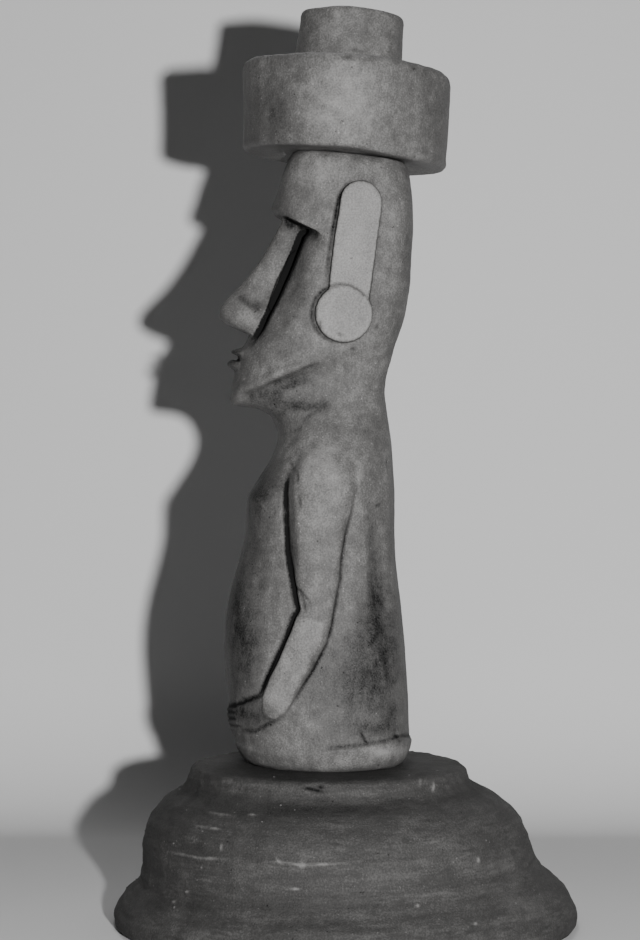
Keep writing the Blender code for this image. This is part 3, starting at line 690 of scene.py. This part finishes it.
# Torn ridges of clay and nicks as lines in the photograph, specks and dents by middle, reach and amount
BURRS = [
    [(165, 852), (180, 854), (200, 858), (226, 859)],
    [(266, 862), (282, 862), (300, 865), (330, 864), (362, 861)],
    [(276, 858), (284, 866)],
    [(208, 812), (236, 816)],
    [(196, 826), (222, 829)],
    [(420, 776), (421, 786)],
]
PLINTH_SPECKS = [
    (295, 889, 4.5, 1.0, 1), (174, 902, 1.6, 1.6, 1), (187, 892, 1.6, 1.2, 1), (417, 906, 1.8, 1.8, 1),
    (475, 924, 1.6, 1.2, 1), (434, 787, 1.0, 4.5, 1), (221, 847, 0.9, 3.5, 1), (252, 815, 4.0, 1.3, 1),
    (302, 865, 3.0, 3.5, 1), (478, 860, 1.5, 2.5, 1),
]
PLINTH_DENTS = [(503, 862, 9, 16, 0.9), (522, 872, 10, 16, -0.8)]
PLINTH_NICKS = [[(303, 787), (313, 789), (322, 791)], [(318, 786), (323, 787)], [(190, 764), (200, 771)]]
# Painted light and shade, lighter and darker bands across the plinth, darkest under the disc's ledge: middle
# and reach in the photograph's pixels, and how much lighter
PLINTH_LIGHT_AND_SHADE = [
    (330, 790, 120, 9, 0.04),
    (345, 830, 110, 16, -0.04),
    (440, 840, 60, 50, 0.10),
    (505, 868, 20, 18, 0.16),
    (180, 830, 40, 40, -0.12),
    (300, 812, 150, 6, -0.20),
    (520, 905, 50, 14, 0.14),
    (250, 905, 120, 8, -0.16),
]


def turned_ridges(places, up, angle):
    """The ridges that turning left, drifting up and down and coming and going on their way round."""
    drift = lumps(places, [(1.6, (34.0, 34.0, 60.0), 21)]) + waves(angle, TURNED_WAVES)
    push = np.zeros(len(places))
    for height, proud, tall in TURNED_RIDGES:
        strength = 0.55 + 0.6 * mottle(places, (22 * MM, 22 * MM, 8 * MM), 22 + int(height))
        line = (up - height * MM - drift) / (tall * MM)
        push += proud * MM * strength * (bell(line, 0, 1) - 0.6 * bell(line, -1.8, 1))
    return push


def make_plinth(material):
    clay = Clay("plinth", PLINTH_GRAIN)
    clay.smooth(4)
    low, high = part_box("plinth")
    flat_foot = smooth_step(clay.places[:, 2], 0.5 * MM, 3.0 * MM)
    clay.settle(24, (1 - clay.sharpness(4)) * flat_foot)
    clay.smooth(4, flat_foot)
    places = clay.places
    spots = in_photo(places)
    angle, distance = round_about(places, (0.0, -4 * MM))
    up = places[:, 2] - low.z
    top = smooth_step(clay.normals()[:, 2], 0.7, 0.95) * smooth_step(up, 60 * MM, 68 * MM)
    wall = 1 - top
    push = turned_ridges(places, up, angle) + lumps(places, TURNED_LUMPS) * wall
    push += lumps(places, [(0.60, 20.0, 33)]) * (0.25 + 0.75 * wall)
    push += lumps(places, [(0.26, 6.0, 34)]) * (0.4 + 0.6 * wall)
    push += lumps(places, [(0.08, 1.8, 35)])
    disc_edge = bell(up, 66 * MM, 5 * MM) * smooth_step(distance, 48 * MM, 56 * MM)
    jagged = mottle(places, 5.0 * MM, 36) + 0.6 * mottle(places, 2.4 * MM, 37)
    push += (0.38 * MM * jagged - 0.15 * MM) * disc_edge
    ledge = bell(up, 61 * MM, 3 * MM) * smooth_step(distance, 52 * MM, 60 * MM)
    push -= (0.3 * MM + lumps(places, [(0.5, 9.0, 38)])) * ledge
    push += (lumps(places, [(0.6, 11.0, 39)]) - 0.5 * MM) * bell(up, 9 * MM, 6 * MM) * flat_foot
    push -= 0.4 * MM * pits(places, (2.8, 1.5), 40, 0.6)

    side = smooth_step(np.abs(clay.normals()[:, 0]), 0.1, 0.4)
    burr = grooves(spots, [(BURRS, 1, 0.55, 0.3)]) * (0.4 + 0.6 * smooth_step(jagged, -0.3, 0.5))
    burr = np.clip(burr + patches(spots, PLINTH_SPECKS), 0, 1) * side
    nick = grooves(spots, [(PLINTH_NICKS, 1, 0.7, 0.3)]) * side
    push += 0.6 * MM * burr - 0.9 * MM * nick
    push -= MM * patches(spots, PLINTH_DENTS) * side
    figure_low, figure_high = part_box("figure")
    from_figure = np.hypot(places[:, 0], places[:, 1] - (figure_low.y + figure_high.y) / 2)
    most = smooth_step(from_figure, 36 * MM, 50 * MM) * 0.3 * MM  # nothing rises under the figure
    push = np.where(top > 0.3, np.minimum(push, most), push)
    clay.push(push * flat_foot)
    clay.smooth(1, flat_foot)
    clay.places = np.clip(clay.places, np.array(low), np.array(high))

    # Painted light and shade from the table, and paler torn clay on the burrs; painted shade in the nicks and
    # under the ledge
    clay.layers["tone_and_shading"] = patches(spots, PLINTH_LIGHT_AND_SHADE) + 1.1 * burr
    clay.layers["crease_shade"] = np.clip(nick + 0.2 * ledge, 0, 1)
    clay.layers["polish"] = np.zeros(len(places))
    off_foot = smooth_step(up, 3 * MM, 6 * MM) * smooth_step(distance, 98 * MM, 95 * MM)
    crumbly = 0.14 + 0.9 * burr + 0.35 * ledge + 0.3 * smooth_step(mottle(places, 15 * MM, 45), 0.1, 0.6)
    clay.layers["crumbly"] = crumbly * off_foot * (from_figure > 46 * MM)
    clay.detailed = (burr > 0.1) | (nick > 0.1)
    return clay.finish("plinth_clay", material)


def add_node(tree, kind, inputs=(), **settings):
    """A node with its settings, whose inputs are given as values or as the sockets that feed them."""
    made = tree.nodes.new(kind)
    for name, value in settings.items():
        setattr(made, name, value)
    for key, value in dict(inputs).items():
        if isinstance(value, bpy.types.NodeSocket):
            tree.links.new(value, made.inputs[key])
        else:
            made.inputs[key].default_value = value
    return made


# How many crumbs on a square metre of the crumbliest clay, and their size
CRUMB_SETTINGS = {"Density": 9000.0, "Smallest": 0.18 * MM, "Largest": 0.62 * MM, "Seed": 7}
CRUMB_SHAPE = (1.0, 0.8, 0.55)
CRUMB_LUMPS = 1800.0  # lumps to the metre, and how far they move a crumb's surface
CRUMB_ROUGHNESS = 0.8 * MM


def crumb_tree():
    """Small flat crumbs of clay, more of them where the surface is crumbly, turned the way it faces."""
    tree = bpy.data.node_groups.new("crumbs", "GeometryNodeTree")
    inputs = [
        ("Geometry", "NodeSocketGeometry"),
        ("Density", "NodeSocketFloat"),
        ("Smallest", "NodeSocketFloat"),
        ("Largest", "NodeSocketFloat"),
        ("Seed", "NodeSocketInt"),
        ("Material", "NodeSocketMaterial"),
    ]
    for name, kind in inputs:
        tree.interface.new_socket(name, in_out="INPUT", socket_type=kind)
    tree.interface.new_socket("Geometry", in_out="OUTPUT", socket_type="NodeSocketGeometry")

    def node(kind, inputs=(), **settings):
        return add_node(tree, kind, inputs, **settings)

    given = node("NodeGroupInput").outputs
    crumbly = node("GeometryNodeInputNamedAttribute", {"Name": "crumbly"}, data_type="FLOAT").outputs[0]
    density = node("ShaderNodeMath", {0: crumbly, 1: given["Density"]}, operation="MULTIPLY").outputs[0]
    scatter = node(
        "GeometryNodeDistributePointsOnFaces",
        {"Mesh": given["Geometry"], "Density": density, "Seed": given["Seed"]},
        distribute_method="RANDOM",
    )
    size = node("FunctionNodeRandomValue", {2: given["Smallest"], 3: given["Largest"], "Seed": given["Seed"]})
    flat = node("ShaderNodeVectorMath", {0: CRUMB_SHAPE, "Scale": size.outputs[1]}, operation="SCALE")
    crumb = node("GeometryNodeMeshIcoSphere", {"Radius": 1.0, "Subdivisions": 2})
    placed = node(
        "GeometryNodeInstanceOnPoints",
        {
            "Points": scatter.outputs["Points"],
            "Instance": crumb.outputs["Mesh"],
            "Rotation": scatter.outputs["Rotation"],
            "Scale": flat.outputs[0],
        },
    )
    real = node("GeometryNodeRealizeInstances", {"Geometry": placed.outputs["Instances"]})
    lumpy = node("ShaderNodeTexNoise", {"Scale": CRUMB_LUMPS, "Detail": 1.0})
    lumps_about_zero = {0: lumpy.outputs["Color"], 1: (0.5, 0.5, 0.5)}
    centred = node("ShaderNodeVectorMath", lumps_about_zero, operation="SUBTRACT").outputs[0]
    offset = node("ShaderNodeVectorMath", {0: centred, "Scale": CRUMB_ROUGHNESS}, operation="SCALE")
    uneven = node("GeometryNodeSetPosition", {"Geometry": real.outputs[0], "Offset": offset.outputs[0]})
    coated = node("GeometryNodeSetMaterial", {"Geometry": uneven.outputs[0], "Material": given["Material"]})
    node("NodeGroupOutput", {"Geometry": coated.outputs[0]})
    return tree


def make_crumbs(plinth, material):
    tree = crumb_tree()
    piece = new_object("plinth_crumbs", plinth.data.copy())
    scatter = piece.modifiers.new("crumbs", "NODES")
    scatter.node_group = tree
    settings = {**CRUMB_SETTINGS, "Material": material}
    for socket in tree.interface.items_tree:
        if socket.in_out == "INPUT" and socket.name in settings:
            scatter[socket.identifier] = settings[socket.name]
    mesh = worked_mesh(piece)
    piece.modifiers.remove(scatter)
    piece.data = mesh
    return piece


# Finishes

CLAY_GLOSS = 0.14
# How much the painted shade in creases darkens the clay
CREASE_DARKNESS = 1.05
TONE_RANGE = (-0.8, 0.9)  # the tones that get the darkest and the lightest colour
TONE_MIDDLE = 0.47  # where between them the middle colour is

# Darkest, middle and lightest colour of each clay; the near-black darkest shows where painted shade is
# deepest
GREY_TONES = ((0.006, 0.006, 0.006), (0.101, 0.099, 0.097), (0.305, 0.30, 0.294))
DARK_TONES = ((0.006, 0.006, 0.006), (0.046, 0.045, 0.044), (0.150, 0.147, 0.144))
CRUMB_COLOUR = (0.085, 0.083, 0.082)

# How far the tool's strokes are drawn out along x, y and z: up the figure and topknot, round the plinth
FIGURE_STREAKS = (1.0, 1.0, 4.0)
TOPKNOT_STREAKS = (1.0, 1.0, 1.6)
PLINTH_STREAKS = (6.0, 6.0, 1.0)


class Finish:
    """A material being wired up."""

    def __init__(self, name):
        self.material = bpy.data.materials.new(name)
        self.material.use_nodes = True
        self.tree = self.material.node_tree
        self.surface = self.tree.nodes["Principled BSDF"]
        self.where = self.node("ShaderNodeTexCoord").outputs["Object"]

    def node(self, kind, inputs=(), **settings):
        return add_node(self.tree, kind, inputs, **settings)

    def feed(self, name, value):
        self.tree.links.new(value, self.surface.inputs[name])

    def layer(self, name):
        return self.node("ShaderNodeAttribute", attribute_name=name).outputs["Fac"]

    def math(self, operation, first, second):
        return self.node("ShaderNodeMath", {0: first, 1: second}, operation=operation).outputs[0]

    def noise(self, size, detail, stretch=(1.0, 1.0, 1.0), turned=(0.0, 0.0, 0.0)):
        """Noise with lumps of the given size in metres, longer along the axes that are stretched."""
        scale = [1.0 / way for way in stretch]
        where = self.node("ShaderNodeMapping", {"Vector": self.where, "Scale": scale, "Rotation": turned})
        inputs = {"Vector": where.outputs[0], "Scale": 1.0 / size, "Detail": detail, "Roughness": 0.55}
        return self.node("ShaderNodeTexNoise", inputs).outputs["Fac"]

    def spread(self, value, low, high, to_low, to_high, smooth=False):
        inputs = {"Value": value, "From Min": low, "From Max": high, "To Min": to_low, "To Max": to_high}
        kind = "SMOOTHSTEP" if smooth else "LINEAR"
        return self.node("ShaderNodeMapRange", inputs, interpolation_type=kind).outputs[0]

    def mottled(self, amount, size, detail, **kind):
        """Noise that goes from about minus the amount to the amount."""
        return self.spread(self.noise(size, detail, **kind), 0.3, 0.7, -amount, amount)

    def add(self, *values):
        total = values[0]
        for value in values[1:]:
            total = self.math("ADD", total, value)
        return total


def clay_finish(name, colours, streaks, turned, roughness=0.48, cloud=1.0, lines=1.0):
    """Matt clay: three colours by tone with painted light and shade, mottled, streaked by the tool and
    darkened by painted shade in creases.
    """
    finish = Finish(name)
    dark, middle, light = colours
    crease_shade = finish.layer("crease_shade")
    polish = finish.layer("polish")
    broad = finish.mottled(0.13, 22 * MM, 3.0, turned=turned)
    cloudy = finish.mottled(0.16, 5 * MM, 5.0, turned=turned)
    grain = finish.mottled(0.19, 0.75 * MM, 3.0)
    patchy = finish.spread(finish.noise(12 * MM, 2.0, turned=turned), 0.42, 0.6, 0.25, 1.0, True)
    stroke = finish.math("MULTIPLY", finish.mottled(0.06, 1.1 * MM, 4.0, stretch=streaks), patchy)
    long_stroke = finish.mottled(0.05, 3.6 * MM, 4.0, stretch=streaks)
    pale_specks = finish.noise(1.3 * MM, 2.0, turned=(0.7, 0.2, 1.1))
    pale_specks = finish.spread(pale_specks, 0.68, 0.76, 0.0, 0.5, True)
    dark_specks = finish.noise(2.1 * MM, 2.0, turned=(1.7, 1.2, 0.1))
    dark_specks = finish.spread(dark_specks, 0.69, 0.78, 0.0, -0.5, True)

    clouds = finish.math("MULTIPLY", finish.add(broad, cloudy), cloud)
    strokes = finish.math("MULTIPLY", finish.add(stroke, long_stroke), lines)
    uneven = finish.add(clouds, strokes, pale_specks, dark_specks)
    uneven = finish.math("MULTIPLY", uneven, finish.spread(polish, 0.0, 1.0, 1.0, 0.65))
    # The tone layer carries painted light and shade, the crease layer painted shade
    level = finish.add(finish.layer("tone_and_shading"), uneven, grain)
    level = finish.math("SUBTRACT", level, finish.math("MULTIPLY", crease_shade, CREASE_DARKNESS))
    ramp = finish.node("ShaderNodeValToRGB", {"Fac": finish.spread(level, *TONE_RANGE, 0.0, 1.0)})
    ramp.color_ramp.elements[0].color = (*dark, 1.0)
    ramp.color_ramp.elements[1].color = (*light, 1.0)
    ramp.color_ramp.elements.new(TONE_MIDDLE).color = (*middle, 1.0)
    finish.feed("Base Color", ramp.outputs["Color"])

    rough = finish.spread(cloudy, -0.16, 0.16, roughness, roughness + 0.14)
    rough = finish.add(rough, finish.math("MULTIPLY", polish, -0.08), finish.math("MULTIPLY", crease_shade, 0.6))
    finish.feed("Roughness", rough)
    finish.surface.inputs["Specular IOR Level"].default_value = CLAY_GLOSS

    height = finish.add(
        finish.math("MULTIPLY", stroke, 0.55),
        finish.math("MULTIPLY", grain, 0.45),
        finish.math("MULTIPLY", finish.mottled(0.1, 0.5 * MM, 2.0), 0.4),
        finish.math("MULTIPLY", dark_specks, 0.5),
    )
    height = finish.math("MULTIPLY", height, finish.spread(polish, 0.0, 1.0, 1.0, 0.35))
    bump = finish.node("ShaderNodeBump", {"Height": height, "Strength": 0.6, "Distance": 1.0 * MM})
    finish.feed("Normal", bump.outputs["Normal"])
    return finish.material


def crumb_finish(name, colour):
    """Dry crumbs, some paler than others."""
    finish = Finish(name)
    ramp = finish.node("ShaderNodeValToRGB", {"Fac": finish.noise(0.8 * MM, 2.0)})
    ramp.color_ramp.elements[0].color = (*[part * 0.6 for part in colour], 1.0)
    ramp.color_ramp.elements[1].color = (*[part * 1.5 for part in colour], 1.0)
    finish.feed("Base Color", ramp.outputs["Color"])
    finish.surface.inputs["Roughness"].default_value = 0.9
    return finish.material


# The studio

FLOOR_GREY = 0.66
FLOOR_REACH = 0.45  # from the statue's middle towards the camera
FLOOR_HALF_WIDTH = 0.45
WALL_DISTANCE = 0.22  # from the statue's middle to where the floor starts to rise
WALL_HEIGHT = 0.8
SWEEP = 0.08  # radius of the bend between floor and wall
SWEEP_STEPS = 12
SURROUND = 0.02

# Name, azimuth in degrees, height, distance, width, power in watts
LAMPS = [
    ("key", 8.3, 0.22, 1.12, 0.035, 20.5),
    ("back_fill", 190.0, 2.1, 0.8, 0.7, 16.0),
]


def floor_finish():
    """Matt pale paint that shows from its front only, so that views from behind look past the wall."""
    material = bpy.data.materials.new("pale_floor")
    material.use_nodes = True
    tree = material.node_tree
    surface = tree.nodes["Principled BSDF"]
    surface.inputs["Base Color"].default_value = (FLOOR_GREY, FLOOR_GREY, FLOOR_GREY, 1.0)
    surface.inputs["Roughness"].default_value = 0.95
    surface.inputs["Specular IOR Level"].default_value = 0.1
    behind = add_node(tree, "ShaderNodeNewGeometry").outputs["Backfacing"]
    clear = add_node(tree, "ShaderNodeBsdfTransparent").outputs[0]
    one_sided = add_node(tree, "ShaderNodeMixShader", {0: behind, 1: surface.outputs[0], 2: clear})
    tree.links.new(one_sided.outputs[0], tree.nodes["Material Output"].inputs["Surface"])
    return material


def make_floor():
    """A floor that sweeps up into a wall behind the statue."""
    outline = [(FLOOR_REACH, 0.0)]
    for k in range(SWEEP_STEPS + 1):
        turn = math.pi / 2 * k / SWEEP_STEPS
        outline.append((-WALL_DISTANCE - SWEEP * math.sin(turn), SWEEP - SWEEP * math.cos(turn)))
    outline.append((-WALL_DISTANCE - SWEEP, WALL_HEIGHT))
    sweep = bmesh.new()
    rows = [[sweep.verts.new((x, side * FLOOR_HALF_WIDTH, z)) for side in (-1, 1)] for x, z in outline]
    for low, high in zip(rows, rows[1:]):
        sweep.faces.new((low[0], low[1], high[1], high[0]))
    mesh = bpy.data.meshes.new("floor")
    sweep.to_mesh(mesh)
    sweep.free()
    mesh.shade_smooth()
    mesh.materials.append(floor_finish())
    new_object("floor", mesh)


def add_lamp(name, azimuth, height, distance, width, power):
    """A round lamp that looks at the statue, from the camera's side at azimuth 0, and from its back at 90."""
    turn = math.radians(azimuth)
    data = bpy.data.lights.new(name, "AREA")
    data.shape = "DISK"
    data.size = width
    data.energy = power
    lamp = new_object(name, data)
    lamp.location = (distance * math.cos(turn), distance * math.sin(turn), height)
    lamp.rotation_euler = (AIM - lamp.location).to_track_quat("-Z", "Y").to_euler()


def make_camera():
    data = bpy.data.cameras.new("camera")
    data.lens = LENS
    data.sensor_width = SENSOR
    data.sensor_fit = "AUTO"
    camera = new_object("camera", data)
    camera.location = EYE
    camera.rotation_euler = (AIM - EYE).to_track_quat("-Z", "Y").to_euler()
    bpy.context.scene.camera = camera


def make_surround(strength):
    world = bpy.data.worlds.new("surround")
    world.use_nodes = True
    sky = world.node_tree.nodes["Background"]
    sky.inputs["Color"].default_value = (1.0, 1.0, 1.0, 1.0)
    sky.inputs["Strength"].default_value = strength
    bpy.context.scene.world = world


# The statue

figure_finish = clay_finish("grey_clay", GREY_TONES, FIGURE_STREAKS, (0.3, 0.1, 0.5))
topknot_finish = clay_finish("topknot_grey", GREY_TONES, TOPKNOT_STREAKS, (0.9, 0.4, 0.2), 0.45)
plinth_finish = clay_finish("dark_clay", DARK_TONES, PLINTH_STREAKS, (0.1, 0.8, 0.6), 0.66, 0.45, 2.4)
pieces = [
    (make_figure(figure_finish), "figure", "grey_clay"),
    (make_topknot(topknot_finish), "topknot", "grey_clay"),
    (make_plinth(plinth_finish), "plinth", "dark_clay"),
]
for piece, node, slot in pieces:
    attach(piece, "root")
    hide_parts(node)
crumbs = make_crumbs(pieces[2][0], crumb_finish("pale_crumbs", CRUMB_COLOUR))
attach(crumbs, "root")

make_floor()
for lamp in LAMPS:
    add_lamp(*lamp)
make_surround(SURROUND)
make_camera()
